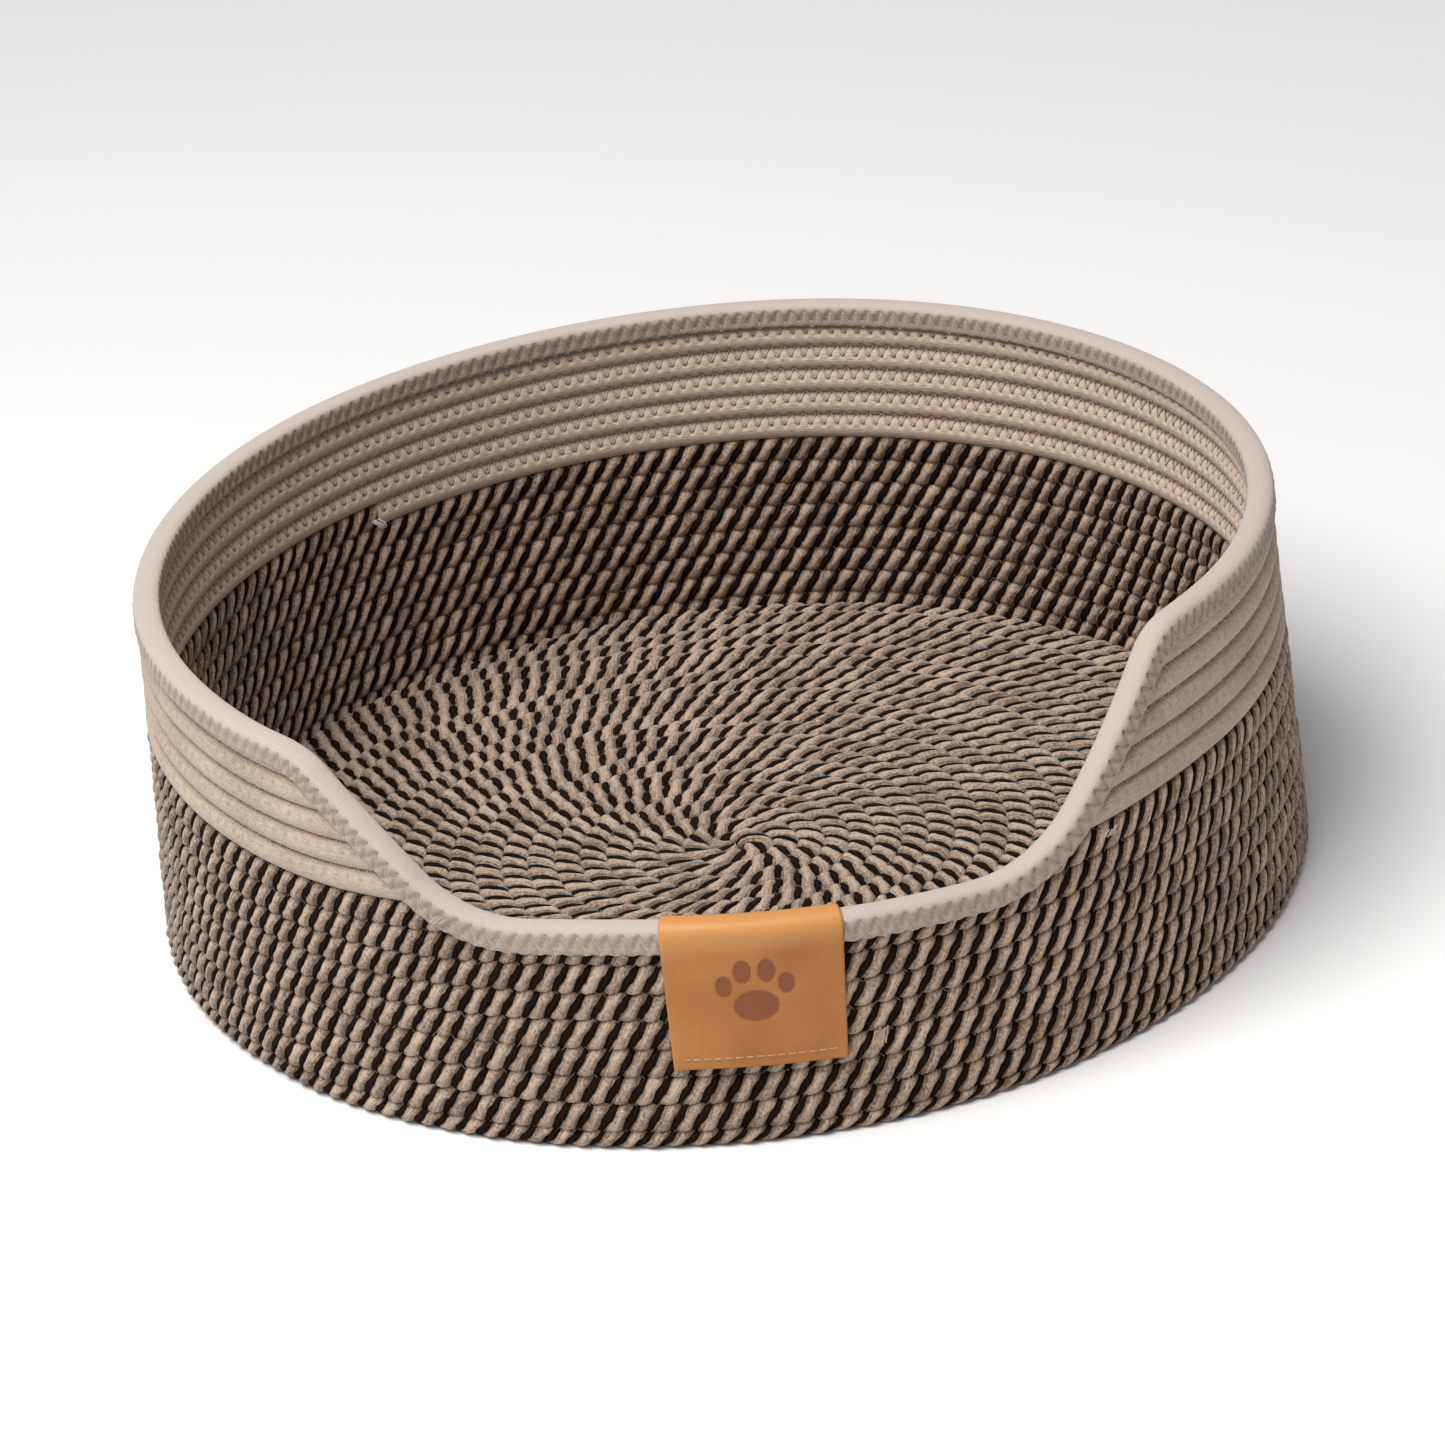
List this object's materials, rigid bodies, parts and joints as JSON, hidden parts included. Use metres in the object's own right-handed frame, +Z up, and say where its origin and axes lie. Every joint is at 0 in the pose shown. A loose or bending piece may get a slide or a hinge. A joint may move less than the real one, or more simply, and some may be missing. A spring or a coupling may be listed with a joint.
{
  "type": "rope pet bed basket",
  "caption": "Round low pet bed basket of coiled and sewn cotton rope, with a doorway cut into the front of its wall, a bound rim and a folded leather label.",
  "frame": {"origin": "centre of the underside, on the surface the basket stands on", "axes": "+Z up through the open top; -Y out through the doorway and the label; +X to the right as one faces the doorway"},
  "size_m": [0.43, 0.4309, 0.1409],
  "materials": {
    "two_tone_rope": "matt twisted cotton rope, natural and black strands",
    "plain_rope": "matt braided cotton rope, natural",
    "dark_thread": "matt sewing thread",
    "light_thread": "matt sewing thread",
    "binding_tape": "woven cotton tape",
    "label_leather": "smooth satin leather"
  },
  "bodies": {
    "root": {"floor_coil": "two_tone_rope", "wall_coil": "two_tone_rope", "plain_course_1": "plain_rope", "plain_course_2": "plain_rope", "plain_course_3": "plain_rope", "plain_course_4": "plain_rope", "plain_course_5": "plain_rope", "plain_course_6": "plain_rope", "floor_seam_thread": "dark_thread", "wall_seam_thread_inside": "dark_thread", "wall_seam_thread_outside": "dark_thread", "rim_binding": "binding_tape", "binding_stitches": "light_thread", "label": "label_leather", "label_stitches": "light_thread", "rope_join_tack": "light_thread", "door_tack_left": "light_thread", "door_tack_right": "light_thread", "splice_stitches": "light_thread"}
  },
  "joints": []
}
